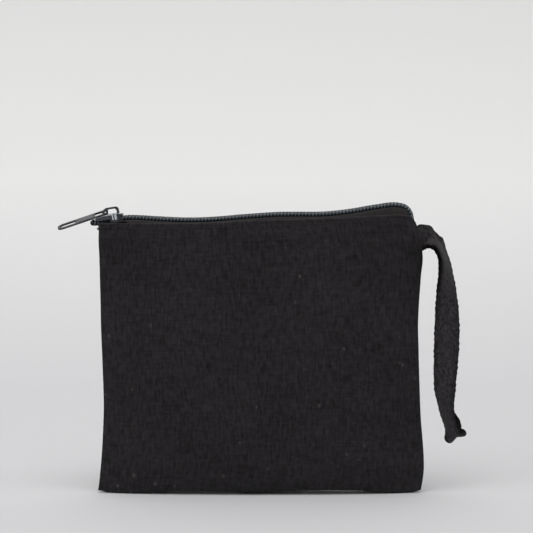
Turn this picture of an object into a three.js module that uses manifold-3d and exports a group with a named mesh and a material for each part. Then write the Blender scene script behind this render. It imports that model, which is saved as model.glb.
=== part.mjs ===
// A small zippered canvas pouch with a wrist strap. Millimetres, +Z up.
// The pouch stands on its base: +X points to the strap side, -Y to the front.

import * as THREE from 'three';
import * as BufferGeometryUtils from 'three/addons/utils/BufferGeometryUtils.js';
import Module from 'manifold-3d';

const wasm = await Module();
wasm.setup();

// ---------------------------------------------------------------- driving dimensions

const GAP = 0.3; // air between any two pieces that touch on the real pouch
const CANVAS = 0.8; // thickness of the canvas
const THREAD = 0.4; // diameter of the sewing thread
const FRONT = -1;
const BACK = 1;

// Body. Half depths are measured from the seam plane, Y = 0, to the outside of a panel.
const SEAM_HALF_GAP = 0.5; // each panel's inner face at a seam
const SEAM_HALF_DEPTH = SEAM_HALF_GAP + CANVAS;
const MOUTH_HALF_DEPTH = 6.8; // at the hems
const CORNER_HALF_DEPTH = 6.1; // at the zip's two ends
const BASE_HALF_DEPTH = 6.4; // where the flat base turns up into the wall
const BASE_RISE = 2.6; // how far the base's corners lift
const BASE_FLAT_X = 58; // the base is flat between plus and minus this
const BASE_CORNER_X = 70;
const ALLOWANCE = 7; // seam allowance left inside
const ALLOWANCE_CLOTH = 0.6;
const SPLIT_Z = [103, 112.5]; // the side seams open out between these heights, round the zip's ends
// Curves through knots: X of each side seam, and the half depth of a wall, by Z. Height of the hem by X.
const LEFT_EDGE = [[0, -70.3], [7, -69.6], [24, -68.3], [41, -67.8], [72, -68.7], [85, -69.1], [119, -69.8]];
const RIGHT_EDGE = [[0, 69.6], [12, 71.0], [35, 69.6], [63, 68.7], [75, 68.3], [95, 69.4], [103, 69.8],
  [113, 68.6], [122, 66.6]];
const WALL = [[0, 6.9], [3, 8.0], [22, 9.3], [45, 9.8], [70, 9.4], [95, 8.0], [110, MOUTH_HALF_DEPTH]];
const HEM = [[-70, 118.6], [-30, 118.6], [0, 119.8], [33, 120.9], [50, 121.8], [62, 122.2], [67, 120.6]];

// Zip: a nylon coil chain, sewn along the upper side of two tapes.
// Height of the coil's top by X, between the slider and the right-hand end.
const COIL_TOP = [[-52, 121.4], [-44, 120.9], [-32, 120.4], [-22, 120.6], [-6, 121.9], [8, 122.8],
  [28, 123], [38, 124], [50, 126], [58.5, 127]];
const COIL_WIDTH = 2.6; // one of the two rows
const COIL_HEIGHT = 2.0;
const COIL_WALL = 0.45;
const COIL_HALF_GAP = 0.15; // from the middle of the closed chain to a row
const TAPE = 0.5; // thickness of the zip tape
const TAPE_HALF_WIDTH = 5.2; // where the tape turns down into the pouch
const TAPE_END_HALF_WIDTH = 3.4; // where it narrows into a side seam
const TAPE_DROP = 8; // how far it hangs below its own top face
const HEM_TO_STITCHING = 2.2;

// Slider, in its own frame: a runs along the zip, n stands off it, and the origin is the middle of the coil.
const SLIDER_X = -65.05;
const SLIDER_Z = 119.25;
const SLIDER_TILT = THREE.MathUtils.degToRad(9);
const SLIDER_LENGTH = 12;
const PLATE = 0.9;
const PLATE_TOP = 2.3;
const BODY_BOTTOM = -3.1;
const CHANNEL = [-0.95, PLATE_TOP - PLATE]; // lowest and highest n of the coil's channel
const TAPE_SLOT = [-2.2, -0.9];
const SHOULDER_HALF_WIDTH = 4.8;
const TAIL_HALF_WIDTH = 3.8;
const FLANGE = 0.65;
const CROWN_TOP = 5.7;
const CROWN_HALF_WIDTH = 1.3;
const CROWN_STRIP = 0.8;
const PIVOT = [-0.6, 4.0]; // a and n of the pull tab's crossbar

// Pull tab, lying along +X in its own frame with its crossbar on the origin.
const TAB_ANGLE = THREE.MathUtils.degToRad(180 + 18.6); // the way it points, turned up from +X
const TAB_ROLL = THREE.MathUtils.degToRad(-16); // it hangs with its front edge lower
const TAB_LENGTH = 22.7;
const TAB_HALF_WIDTH = 2.7;
const TAB_HEAD_HALF_WIDTH = 2.9;
const TAB_THICKNESS = 0.8;
const TAB_HEAD_THICKNESS = 0.7;
const TAB_EYE = [0.4, 5.6, 1.8]; // from, to, half width
const TAB_SLOT = [13.9, 21.6, 1.85];

// Wrist strap: one woven tape, doubled into a loop and sewn into the right-hand side seam.
const STRAP_WIDTH = 10.8;
const STRAP_THICKNESS = 1.0;

const COLOURS = {
  canvas: 0x262426, tape: 0x2b292b, coil: 0x1d2024, thread: 0x201e20, metal: 0x25262a,
  bright: 0xb8bcc4, strap: 0x2a282b,
};

// ---------------------------------------------------------------- helpers

const vec = (x, y, z) => new THREE.Vector3(x, y, z);
const clamp01 = (t) => Math.min(1, Math.max(0, t));
const smooth = (t) => clamp01(t) ** 2 * (3 - 2 * clamp01(t));
const steps = (count) => Array.from({ length: count + 1 }, (_, i) => i / count);

// A smooth curve through [at, value] knots, level beyond the first and last.
function through(knots, at) {
  const last = knots.length - 1;
  if (at <= knots[0][0]) return knots[0][1];
  if (at >= knots[last][0]) return knots[last][1];
  const i = knots.findIndex((k) => k[0] > at) - 1;
  const slope = (k) => {
    const a = knots[Math.max(0, k - 1)];
    const b = knots[Math.min(last, k + 1)];
    return (b[1] - a[1]) / (b[0] - a[0]);
  };
  const [x0, y0] = knots[i];
  const [x1, y1] = knots[i + 1];
  const w = x1 - x0;
  const t = (at - x0) / w;
  const rise = (t * (1 - t) ** 2) * slope(i) * w - (t * t * (1 - t)) * slope(i + 1) * w;
  return y0 * (1 + 2 * t) * (1 - t) ** 2 + y1 * (3 - 2 * t) * t * t + rise;
}

// A closed body from points and triangles, turned so that its faces point out.
function body(points, triangles) {
  const geometry = new THREE.BufferGeometry();
  const flat = points.flatMap((p) => [p.x, p.y, p.z]);
  const volume = triangles.reduce((sum, [a, b, c]) => (
    sum + points[a].dot(points[b].clone().cross(points[c]))), 0);
  const index = triangles.flatMap(([a, b, c]) => (volume > 0 ? [a, b, c] : [a, c, b]));
  geometry.setAttribute('position', new THREE.Float32BufferAttribute(flat, 3));
  geometry.setIndex(index);
  geometry.computeVertexNormals();
  return geometry;
}

// Joins two rows of points, or two loops if closed, with triangles.
function strip(triangles, from, to, closed) {
  const count = closed ? from.length : from.length - 1;
  for (let i = 0; i < count; i += 1) {
    const j = (i + 1) % from.length;
    triangles.push([from[i], from[j], to[j]], [from[i], to[j], to[i]]);
  }
}

// A sheet with a thickness, from a grid of points on each of its faces.
function sheet(outer, inner) {
  const rows = outer.length;
  const columns = outer[0].length;
  const points = [...outer.flat(), ...inner.flat()];
  const at = (face, i, j) => (face * rows + i) * columns + j;
  const line = (face, i) => steps(columns - 1).map((_, j) => at(face, i, j));
  const column = (face, j) => steps(rows - 1).map((_, i) => at(face, i, j));
  const triangles = [];
  for (let i = 0; i + 1 < rows; i += 1) {
    strip(triangles, line(0, i), line(0, i + 1), false);
    strip(triangles, line(1, i + 1), line(1, i), false);
  }
  strip(triangles, line(1, 0), line(0, 0), false);
  strip(triangles, line(0, rows - 1), line(1, rows - 1), false);
  strip(triangles, column(0, 0), column(1, 0), false);
  strip(triangles, column(1, columns - 1), column(0, columns - 1), false);
  return body(points, triangles);
}

// A solid bar through loops of points, with a convex section.
function bar(rings) {
  const sides = rings[0].length;
  const points = rings.flat();
  const loop = (i) => steps(sides - 1).map((_, j) => i * sides + j);
  const triangles = [];
  for (let i = 0; i + 1 < rings.length; i += 1) strip(triangles, loop(i), loop(i + 1), true);
  for (let j = 1; j + 1 < sides; j += 1) {
    const end = (rings.length - 1) * sides;
    triangles.push([0, j + 1, j], [end, end + j, end + j + 1]);
  }
  return body(points, triangles);
}

// A pipe between outer and inner loops of points, open at both ends.
function pipe(outer, inner) {
  const sides = outer[0].length;
  const points = [...outer.flat(), ...inner.flat()];
  const loop = (face, i) => steps(sides - 1).map((_, j) => (face * outer.length + i) * sides + j);
  const last = outer.length - 1;
  const triangles = [];
  for (let i = 0; i < last; i += 1) {
    strip(triangles, loop(0, i), loop(0, i + 1), true);
    strip(triangles, loop(1, i + 1), loop(1, i), true);
  }
  strip(triangles, loop(1, 0), loop(0, 0), true);
  strip(triangles, loop(0, last), loop(1, last), true);
  return body(points, triangles);
}

function solid(geometry) {
  const bare = geometry.clone();
  bare.deleteAttribute('normal');
  bare.deleteAttribute('uv');
  const merged = BufferGeometryUtils.mergeVertices(bare, 1e-5);
  return new wasm.Manifold(new wasm.Mesh({
    numProp: 3,
    vertProperties: new Float32Array(merged.attributes.position.array),
    triVerts: new Uint32Array(merged.index.array),
  }));
}

function geometryOf(manifold) {
  const mesh = manifold.getMesh();
  const geometry = new THREE.BufferGeometry();
  geometry.setAttribute('position', new THREE.Float32BufferAttribute(mesh.vertProperties, 3));
  geometry.setIndex(Array.from(mesh.triVerts));
  geometry.computeVertexNormals();
  return geometry;
}

const join = (...parts) => geometryOf(parts.map(solid).reduce((all, next) => all.add(next)));
const cut = (part, ...tools) => geometryOf(
  tools.map(solid).reduce((left, tool) => left.subtract(tool), solid(part)));

// An extrusion of an outline of [x, y] points, or of a Shape, between two heights.
function slab(outline, low, high) {
  const shape = outline instanceof THREE.Shape ? outline
    : new THREE.Shape(outline.map(([x, y]) => new THREE.Vector2(x, y)));
  const options = { depth: high - low, bevelEnabled: false, curveSegments: 6 };
  const geometry = new THREE.ExtrudeGeometry(shape, options);
  return geometry.translate(0, 0, low);
}

function block(low, high) {
  const size = high.map((h, i) => h - low[i]);
  const middle = high.map((h, i) => (h + low[i]) / 2);
  return new THREE.BoxGeometry(...size).translate(...middle);
}

const group = new THREE.Group();

function add(parent, name, geometry, look) {
  const metal = look === 'metal' || look === 'bright';
  const material = new THREE.MeshStandardMaterial({
    color: COLOURS[look], roughness: metal ? 0.35 : 0.9, metalness: metal ? 1 : 0,
  });
  const mesh = new THREE.Mesh(geometry, material);
  mesh.name = name;
  parent.add(mesh);
  return mesh;
}

// ---------------------------------------------------------------- panels

const leftEdge = (z) => through(LEFT_EDGE, z);
const rightEdge = (z) => through(RIGHT_EDGE, z);
const edgeHalfDepth = (z) => {
  const open = smooth((z - SPLIT_Z[0]) / (SPLIT_Z[1] - SPLIT_Z[0]));
  return SEAM_HALF_DEPTH + (CORNER_HALF_DEPTH - SEAM_HALF_DEPTH) * open;
};
const baseHeight = (x) => (
  BASE_RISE * Math.max(0, (Math.abs(x) - BASE_FLAT_X) / (BASE_CORNER_X - BASE_FLAT_X)) ** 2);

// The outside of a panel. u runs from -1 at the left edge to 1 at the right, and along from 0 at the
// bottom seam through 1, where the base turns up, to 2 at the hem.
function panelPoint(side, u, along) {
  const middle = (leftEdge(0) + rightEdge(0)) / 2;
  const half = (rightEdge(0) - leftEdge(0)) / 2;
  if (along <= 1) {
    const x = middle + u * half;
    const depth = SEAM_HALF_DEPTH + (BASE_HALF_DEPTH - SEAM_HALF_DEPTH) * (1 - Math.abs(u) ** 4);
    const start = SEAM_HALF_GAP + along * (depth - SEAM_HALF_GAP);
    return vec(x, side * start, baseHeight(x));
  }
  const climb = along - 1;
  const guess = middle + u * half;
  const low = baseHeight(guess);
  const z = low + (through(HEM, guess) - low) * climb;
  const x = (leftEdge(z) + rightEdge(z)) / 2 + u * (rightEdge(z) - leftEdge(z)) / 2;
  const edge = edgeHalfDepth(z);
  const fullness = 1 - Math.abs(u) ** (3 + 5 * smooth((z - 90) / 20));
  return vec(x, side * (edge + (through(WALL, z) - edge) * fullness), z);
}

// The inside of the same panel, a canvas thickness further in.
function panelInside(side, u, along) {
  const tiny = 0.01;
  const outside = panelPoint(side, u, along);
  const inU = u * 0.999;
  const inAlong = Math.min(1.999, Math.max(0.001, along));
  const du = panelPoint(side, Math.min(1, inU + tiny), inAlong).sub(panelPoint(side, inU, inAlong));
  const dv = panelPoint(side, inU, Math.min(2, along + tiny)).sub(
    panelPoint(side, inU, Math.max(0, along - tiny)));
  const normal = du.cross(dv).normalize();
  if (normal.y * side > 0 || normal.z < -0.5) normal.negate();
  if (Math.abs(normal.z) > 0.9) normal.set(0, 0, 1);
  const inside = outside.clone().addScaledVector(normal, CANVAS);
  inside.y = side * Math.max(SEAM_HALF_GAP, Math.abs(inside.y));
  return inside;
}

// Its grid is closest where the cloth turns: at the side seams, the base and the zip's ends.
function panel(side) {
  const half = [0.16, 0.33, 0.5, 0.66, 0.8, 0.9, 0.95, 0.985, 1];
  const across = [...half.map((u) => -u).reverse(), 0, ...half];
  const up = [0, 0.5, 1, 1.008, 1.025, 1.08, 1.2, 1.38, 1.58, 1.76, 1.86, 1.9, 1.95, 2];
  const outer = across.map((u) => up.map((v) => panelPoint(side, u, v)));
  const inner = across.map((u) => up.map((v) => panelInside(side, u, v)));
  return sheet(outer, inner);
}

// A seam allowance: a flat flange of the panel's own cloth, standing inward from a seam.
function sideAllowance(side, edge, inward) {
  const heights = [BASE_RISE + 5, 22, 40, 60, 80, SPLIT_Z[0] - 3];
  const face = (depth) => heights.map((z) => [
    vec(edge(z) + inward * CANVAS / 2, side * depth, z),
    vec(edge(z) + inward * ALLOWANCE, side * depth, z),
  ]);
  return sheet(face(SEAM_HALF_GAP), face(SEAM_HALF_GAP + ALLOWANCE_CLOTH));
}

function bottomAllowance(side) {
  const depths = [side * SEAM_HALF_GAP, side * (SEAM_HALF_GAP + ALLOWANCE_CLOTH)].sort((a, b) => a - b);
  return block([-BASE_FLAT_X, depths[0], CANVAS / 2], [BASE_FLAT_X, depths[1], ALLOWANCE]);
}

const panelWithAllowances = (side) => join(
  panel(side), sideAllowance(side, leftEdge, 1), sideAllowance(side, rightEdge, -1), bottomAllowance(side));

// ---------------------------------------------------------------- threads

// A round thread along a path of points.
function thread(points, sides = 6, diameter = THREAD) {
  const curve = new THREE.CatmullRomCurve3(points);
  const outline = new THREE.Shape(steps(sides).slice(0, sides).map((turn) => {
    const angle = 2 * Math.PI * turn;
    return new THREE.Vector2(Math.cos(angle), Math.sin(angle)).multiplyScalar(diameter / 2);
  }));
  const options = { extrudePath: curve, steps: 3 * points.length, bevelEnabled: false };
  return new THREE.ExtrudeGeometry(outline, options);
}

function seamThread(edge, inward) {
  const heights = [4, 14, 30, 50, 70, 90, SPLIT_Z[0]];
  return thread(heights.map((z) => vec(edge(z) + inward, 0, z)));
}

// The overlock that binds the raw edges of a seam's two allowances.
function overlock(edge, inward) {
  const from = ALLOWANCE + GAP;
  const to = from + CANVAS;
  const heights = [BASE_RISE + 5, 22, 40, 60, 80, SPLIT_Z[0] - 3];
  const half = SEAM_HALF_GAP + ALLOWANCE_CLOTH;
  const face = (y) => heights.map((z) => [
    vec(edge(z) + inward * from, y, z), vec(edge(z) + inward * to, y, z)]);
  return sheet(face(-half), face(half));
}

function bottomOverlock() {
  const half = SEAM_HALF_GAP + ALLOWANCE_CLOTH;
  return block([-BASE_FLAT_X, -half, ALLOWANCE + GAP], [BASE_FLAT_X, half, ALLOWANCE + GAP + CANVAS]);
}

// The line of stitching that holds a hem to its zip tape.
function topstitch(side) {
  const stations = [-58, -40, -20, 0, 20, 40, 56];
  return thread(stations.map((x) => (
    vec(x, side * (MOUTH_HALF_DEPTH + GAP + THREAD / 2), through(HEM, x) - HEM_TO_STITCHING))));
}

// ---------------------------------------------------------------- zip

// The middle line of the coil: straight in the slider, and turned down into the side seam at both ends.
const inSlider = (a) => vec(SLIDER_X + a * Math.cos(SLIDER_TILT), 0, SLIDER_Z + a * Math.sin(SLIDER_TILT));
const coilMiddle = new THREE.CatmullRomCurve3([
  vec(-72.9, 0, 115.4), vec(-72.4, 0, 117.2), ...[-6.6, -4, -1, 2, 5, 7.6].map(inSlider),
  ...COIL_TOP.map(([x, z]) => vec(x, 0, z - COIL_HEIGHT / 2)),
  vec(63, 0, 125), vec(64.9, 0, 122.8), vec(65.6, 0, 119.8), vec(66, 0, 116.5)], false, 'centripetal');

// Stations along the zip, close together at the slider and round the right-hand corner.
const ZIP_STATIONS = (() => {
  const length = coilMiddle.getLength();
  const stations = [0];
  while (stations.at(-1) < length) {
    const at = stations.at(-1);
    stations.push(at + (at < 16 ? 0.9 : at > length - 16 ? 1.8 : 5.5));
  }
  return stations.slice(0, -1).concat(length).map((at) => at / length);
})();

// The point of the zip at t, standing y off the middle and n above the coil's own middle line.
function zipPoint(t, y, n) {
  const along = coilMiddle.getTangentAt(t);
  const up = vec(-along.z, 0, along.x);
  return coilMiddle.getPointAt(t).addScaledVector(up, n).add(vec(0, y, 0));
}

// How far the slider holds a row of the chain off the middle.
function spread(t) {
  const a = coilMiddle.getPointAt(t).x - SLIDER_X;
  return COIL_HALF_GAP + 1.0 * smooth((-0.2 - a) / 2.8) - 0.5 * smooth((-6 - a) / 1.5);
}

function coilRing(side, t, width, height, sides = 8) {
  const middle = spread(t) + COIL_WIDTH / 2;
  const grow = 1 / Math.cos(Math.PI / sides); // so that the flats, and not the corners, give the size
  return steps(sides).slice(0, sides).map((turn) => {
    const angle = 2 * Math.PI * turn + Math.PI / sides;
    const y = side * (middle + grow * Math.cos(angle) * width / 2);
    return zipPoint(t, y, grow * Math.sin(angle) * height / 2);
  });
}

function coil(side) {
  const rings = (less) => ZIP_STATIONS.map((t) => (
    coilRing(side, t, COIL_WIDTH - less, COIL_HEIGHT - less)));
  return pipe(rings(0), rings(2 * COIL_WALL));
}

function coilCord(side) {
  const clear = 2 * (COIL_WALL + GAP);
  return bar(ZIP_STATIONS.map((t) => coilRing(side, t, COIL_WIDTH - clear, COIL_HEIGHT - clear, 6)));
}

// The tape lies under its coil and then turns down behind the hem. At the slider and in both ends it is flat.
function tape(side) {
  const top = -COIL_HEIGHT / 2 - GAP;
  const mix = THREE.MathUtils.lerp;
  const profile = (t, lift) => {
    const x = coilMiddle.getPointAt(t).x;
    const turned = smooth((x + 58.6) / 5) * smooth((60.5 - x) / 8);
    const full = Math.max(turned, smooth((62 - x) / 6) * smooth((x + 72) / 3));
    const width = mix(TAPE_END_HALF_WIDTH, TAPE_HALF_WIDTH, full);
    const flat = top - TAPE + lift * TAPE;
    return [
      [spread(t) + GAP, flat],
      [width - 0.9, flat],
      [width - 0.5 + turned * lift * 0.25, flat - turned * (0.25 + lift * 0.05)],
      [width - 0.3 + turned * lift * TAPE, flat - turned * (0.6 + lift * 0.3)],
      [mix(width, width - 0.3 + lift * TAPE, turned), mix(flat, top - TAPE_DROP, turned)],
    ].map(([y, n]) => zipPoint(t, side * y, n));
  };
  return sheet(ZIP_STATIONS.map((t) => profile(t, 1)), ZIP_STATIONS.map((t) => profile(t, 0)));
}

// ---------------------------------------------------------------- slider

// Side outlines are drawn in a and n, then stood up along Y.
const upright = (outline, halfWidth) => (
  slab(outline, -halfWidth, halfWidth).rotateX(Math.PI / 2));
const mirroredOutline = (half) => [...half, ...half.map(([a, y]) => [a, -y]).reverse()];

function sliderOutline(shoulder, tail, nose, past) {
  return mirroredOutline([
    [-SLIDER_LENGTH / 2 - past, nose], [-5.5 - past, shoulder - 1.1 * (nose < shoulder - 1)],
    [-4.6, shoulder], [-2.6, shoulder], [0.4, tail], [SLIDER_LENGTH / 2 - 0.6, tail],
    [SLIDER_LENGTH / 2 + past, past ? tail : tail - 0.7]]);
}

function sliderBody() {
  const past = 1; // the channel runs out of both ends
  const noseHalfWidth = 2.4;
  const casting = slab(
    sliderOutline(SHOULDER_HALF_WIDTH, TAIL_HALF_WIDTH, noseHalfWidth, 0), BODY_BOTTOM, PLATE_TOP);
  const channel = slab(sliderOutline(
    SHOULDER_HALF_WIDTH - FLANGE, TAIL_HALF_WIDTH - FLANGE, SHOULDER_HALF_WIDTH - FLANGE, past), ...CHANNEL);
  const slot = block([-8, -6, TAPE_SLOT[0]], [8, 6, TAPE_SLOT[1]]);
  const post = slab(mirroredOutline([[-5.4, 0.5], [-4.8, 0.8], [-3.4, 0.8], [-2.2, 0.12]]),
    TAPE_SLOT[0] - PLATE / 2, CHANNEL[1] + PLATE / 2);
  const noseChamfer = upright([[-2.4, PLATE_TOP + 0.01], [-7, PLATE_TOP - 0.56], [-7, 4], [-2.4, 4]], 6);
  const pawlHole = block([2.4, -0.9, CHANNEL[1] - 1], [3.8, 0.9, PLATE_TOP + 1]);
  const windows = [FRONT, BACK].map((side) => ( // the rows show through these, beside the nose
    block([-8, side < 0 ? -6 : 2, TAPE_SLOT[1] - 0.1], [0.3, side < 0 ? -2 : 6, 0.75])));
  return cut(join(cut(casting, channel, slot), post), noseChamfer, pawlHole, ...windows);
}

function sliderCrown() {
  const foot = PLATE_TOP + GAP;
  const outside = [[-2.9, foot], [-2.7, 3.9], [-1.9, 5.2], [-0.9, CROWN_TOP], [3.4, CROWN_TOP],
    [4.2, 5.3], [4.55, 4.6], [4.6, foot]];
  const inside = [[3.6, foot], [3.55, 4.2], [3.3, 4.5], [2.9, CROWN_TOP - CROWN_STRIP],
    [-0.7, CROWN_TOP - CROWN_STRIP], [-1.25, 4.45], [-1.7, 3.7], [-1.8, foot]];
  return upright([...outside, ...inside], CROWN_HALF_WIDTH);
}

// The lock spring: a strip under the crown, a pawl through the plate, and two saddles over its sides.
function lockSpring() {
  const low = PLATE_TOP + GAP;
  const high = low + 0.35;
  const outer = TAIL_HALF_WIDTH + GAP + 0.35;
  const strip = block([-1.6, -0.8, low], [3.5, 0.8, high]);
  const pawl = block([2.75, -0.5, CHANNEL[1] - 0.1], [3.45, 0.5, high]);
  const saddles = [[1.4, 2], [2.5, 3.5]].flatMap(([from, to]) => [
    block([from, -outer, low], [to, outer, high]),
    block([from, -outer, 0.3], [to, -outer + 0.35, high]),
    block([from, outer - 0.35, 0.3], [to, outer, high]),
  ]);
  return join(strip, pawl, ...saddles);
}

function pullTab() {
  const [eyeFrom, eyeTo, eyeHalf] = TAB_EYE;
  const [slotFrom, slotTo, slotHalf] = TAB_SLOT;
  const headEnd = eyeTo + 1.4;
  const headHalf = TAB_HEAD_HALF_WIDTH;
  const head = slab([[-0.4, -headHalf], [headEnd, -headHalf], [headEnd, headHalf], [-0.4, headHalf]],
    -TAB_HEAD_THICKNESS / 2, TAB_HEAD_THICKNESS / 2);
  const blade = new THREE.Shape();
  const round = TAB_LENGTH - TAB_HALF_WIDTH;
  blade.moveTo(eyeTo + 0.6, -2.4);
  blade.lineTo(eyeTo + 1.4, -TAB_HALF_WIDTH);
  blade.lineTo(round, -TAB_HALF_WIDTH);
  blade.absarc(round, 0, TAB_HALF_WIDTH, -Math.PI / 2, Math.PI / 2, false);
  blade.lineTo(eyeTo + 1.4, TAB_HALF_WIDTH);
  blade.lineTo(eyeTo + 0.6, 2.4);
  const slot = new THREE.Shape();
  slot.absarc(slotFrom + slotHalf, 0, slotHalf, Math.PI / 2, 1.5 * Math.PI, false);
  slot.absarc(slotTo - slotHalf, 0, slotHalf, -Math.PI / 2, Math.PI / 2, false);
  const eye = block([eyeFrom, -eyeHalf, -2], [eyeTo, eyeHalf, 2]);
  const whole = join(head, slab(blade, -TAB_THICKNESS / 2, TAB_THICKNESS / 2));
  return cut(whole, eye, slab(slot, -2, 2));
}

// ---------------------------------------------------------------- strap

// The middle of the doubled tape, from where it leaves the seam to the bottom of the loop.
const STRAP_ROUTE = [
  [70.5, -0.9, 110.6], [73.6, -1.2, 110.3], [77.6, -1.8, 107.2], [80, -2.6, 101], [80.8, -3.4, 90],
  [81.1, -3.7, 76], [80.8, -3.8, 60], [80.9, -3.8, 44], [81.6, -3.4, 33], [82.4, -2, 25.8]];

function wristStrap() {
  const down = STRAP_ROUTE.map((p) => vec(...p));
  const back = STRAP_ROUTE.map(([x, y, z]) => vec(x, -y, z)).reverse();
  const curve = new THREE.CatmullRomCurve3([...down, vec(82.6, 0, 22.6), ...back], false, 'centripetal');
  const stations = steps(56).map((t) => {
    const point = curve.getPointAt(t);
    const along = curve.getTangentAt(t);
    const across = vec(-along.z, 0, along.x).multiplyScalar(t < 0.5 ? 1 : -1);
    across.lerp(vec(1, 0, 0), smooth((0.25 - Math.abs(t - 0.5)) / 0.1));
    const out = along.clone().cross(across).normalize();
    across.copy(out).cross(along);
    return { point, across, out };
  });
  const at = ({ point, across, out }, w, lift) => (
    point.clone().addScaledVector(across, w * STRAP_WIDTH).addScaledVector(out, lift * STRAP_THICKNESS / 2));
  const face = (lift) => stations.map((station) => [-0.5, 0, 0.5].map((w) => at(station, w, lift)));
  return sheet(face(1), face(-1));
}

// ---------------------------------------------------------------- assembly

for (const [side, end] of [[FRONT, 'front'], [BACK, 'back']]) {
  add(group, `${end}_panel`, panelWithAllowances(side), 'canvas');
  add(group, `zipper_tape_${end}`, tape(side), 'tape');
  add(group, `zipper_coil_${end}`, coil(side), 'coil');
  add(group, `coil_cord_${end}`, coilCord(side), 'thread');
  add(group, `topstitch_${end}`, topstitch(side), 'thread');
}

for (const [end, edge, inward] of [['left', leftEdge, 1], ['right', rightEdge, -1]]) {
  add(group, `seam_thread_${end}`, seamThread(edge, inward), 'thread');
  add(group, `overlock_${end}`, overlock(edge, inward), 'thread');
}
const alongBottom = [-60, -30, 0, 30, 60].map((x) => vec(x, 0, 1 + baseHeight(x)));
add(group, 'seam_thread_bottom', thread(alongBottom), 'thread');
add(group, 'overlock_bottom', bottomOverlock(), 'thread');

const slider = new THREE.Group();
slider.position.set(SLIDER_X, 0, SLIDER_Z);
slider.rotation.y = -SLIDER_TILT;
add(slider, 'slider_body', sliderBody(), 'metal');
add(slider, 'slider_crown', sliderCrown(), 'metal');
add(slider, 'lock_spring', lockSpring(), 'bright');
group.add(slider);

const pull = new THREE.Group();
pull.position.set(PIVOT[0], 0, PIVOT[1]);
pull.rotation.y = -(TAB_ANGLE - SLIDER_TILT);
const tab = add(pull, 'pull_tab', pullTab(), 'metal');
tab.rotation.x = TAB_ROLL;
slider.add(pull);

add(group, 'wrist_strap', wristStrap(), 'strap');

// The origin is the middle of the whole object's footprint, on the surface that it stands on.
group.updateMatrixWorld(true);
const bounds = new THREE.Box3().setFromObject(group, true);
group.position.set(-(bounds.min.x + bounds.max.x) / 2, -(bounds.min.y + bounds.max.y) / 2, -bounds.min.z);

export default group;
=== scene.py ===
"""A small zippered canvas pouch with a wrist strap: how it looks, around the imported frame."""

import math

import bpy
import numpy as np
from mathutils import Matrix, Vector


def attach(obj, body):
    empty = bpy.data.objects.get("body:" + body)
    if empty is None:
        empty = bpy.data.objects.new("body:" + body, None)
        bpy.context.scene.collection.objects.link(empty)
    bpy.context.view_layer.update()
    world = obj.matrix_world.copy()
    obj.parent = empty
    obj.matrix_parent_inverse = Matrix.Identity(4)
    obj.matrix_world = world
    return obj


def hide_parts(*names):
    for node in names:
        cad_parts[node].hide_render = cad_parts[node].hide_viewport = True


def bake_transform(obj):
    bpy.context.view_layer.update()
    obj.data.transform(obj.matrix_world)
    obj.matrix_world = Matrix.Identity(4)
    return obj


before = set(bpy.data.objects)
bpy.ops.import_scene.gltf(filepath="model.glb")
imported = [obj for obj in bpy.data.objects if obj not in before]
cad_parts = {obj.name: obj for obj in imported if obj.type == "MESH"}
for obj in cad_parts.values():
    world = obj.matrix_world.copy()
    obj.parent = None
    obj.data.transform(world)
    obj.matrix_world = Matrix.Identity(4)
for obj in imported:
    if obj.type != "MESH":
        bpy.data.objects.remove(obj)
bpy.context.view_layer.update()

# Lengths here are millimetres, before the shift below: +X to the strap side, -Y to the front, +Z up.
SHIFT = np.array([-0.0473, 0.0, 0.0063])  # part.mjs moves the whole by this, to put the origin under it
FRONT, BACK = -1, 1
UV_SCALE = 0.01


# ---------------------------------------- helpers


def smooth(t):
    """0 below 0 and 1 above 1, with a soft step between."""
    t = np.clip(t, 0.0, 1.0)
    return t * t * (3 - 2 * t)


def hump(x, at, size):
    """1 at one place, and fading to 0 over about this size."""
    return np.exp(-(((x - at) / size) ** 2))


def mix(a, b, t):
    return a + (b - a) * t


def through(knots, at):
    """A smooth curve through (at, value) knots, level beyond the first and last."""
    xs, ys = np.array(knots, float).T
    slopes = np.gradient(ys, xs)
    slopes[1:-1] = (ys[2:] - ys[:-2]) / (xs[2:] - xs[:-2])
    at = np.clip(np.asarray(at, float), xs[0], xs[-1])
    i = np.clip(np.searchsorted(xs, at, side="right") - 1, 0, len(xs) - 2)
    w = xs[i + 1] - xs[i]
    t = (at - xs[i]) / w
    bend = t * (1 - t) ** 2 * slopes[i] * w - t * t * (1 - t) * slopes[i + 1] * w
    return ys[i] * (1 + 2 * t) * (1 - t) ** 2 + ys[i + 1] * (3 - 2 * t) * t * t + bend


def run_along(points):
    """How far along a path each of its points lies."""
    return np.concatenate([[0], np.cumsum(np.linalg.norm(np.diff(points, axis=0), axis=1))])


def sampled(points, run, at):
    """A path's values at some distances along it."""
    return np.stack([np.interp(at, run, c) for c in points.T], axis=1)


def relax(points, times):
    """Round off a line or grid of points along its first axis, in place; its two ends stay."""
    for _ in range(times):
        points[1:-1] += 0.25 * (points[:-2] - 2 * points[1:-1] + points[2:])


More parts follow.
